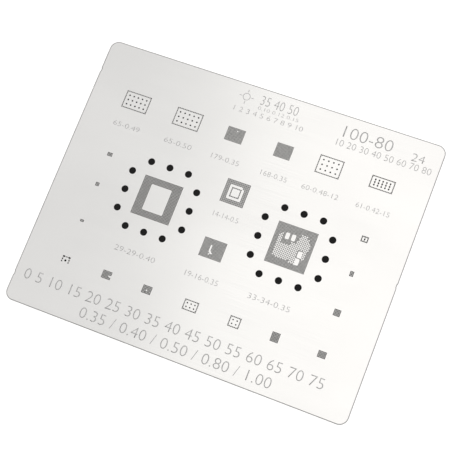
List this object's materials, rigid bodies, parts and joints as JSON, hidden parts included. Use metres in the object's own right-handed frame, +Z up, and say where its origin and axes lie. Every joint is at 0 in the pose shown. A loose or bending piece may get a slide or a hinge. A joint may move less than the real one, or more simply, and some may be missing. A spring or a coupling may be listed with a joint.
{
  "type": "solder paste stencil",
  "caption": "Thin rectangular steel sheet with fields of tiny round apertures for printing solder paste or balls onto chips.",
  "frame": {"origin": "centre of the sheet's outline, on its lower face, which lies on the work", "axes": "+X along the long side towards the ring of relief holes with the windowed field, +Y along the short side towards the row of chip outlines, +Z up out of the wiping face"},
  "size_m": [0.1, 0.08, 0.0001],
  "materials": {
    "sheet_steel": "finely brushed bare stainless steel sheet"
  },
  "bodies": {
    "root": {"stencil_sheet": "sheet_steel"}
  },
  "joints": []
}
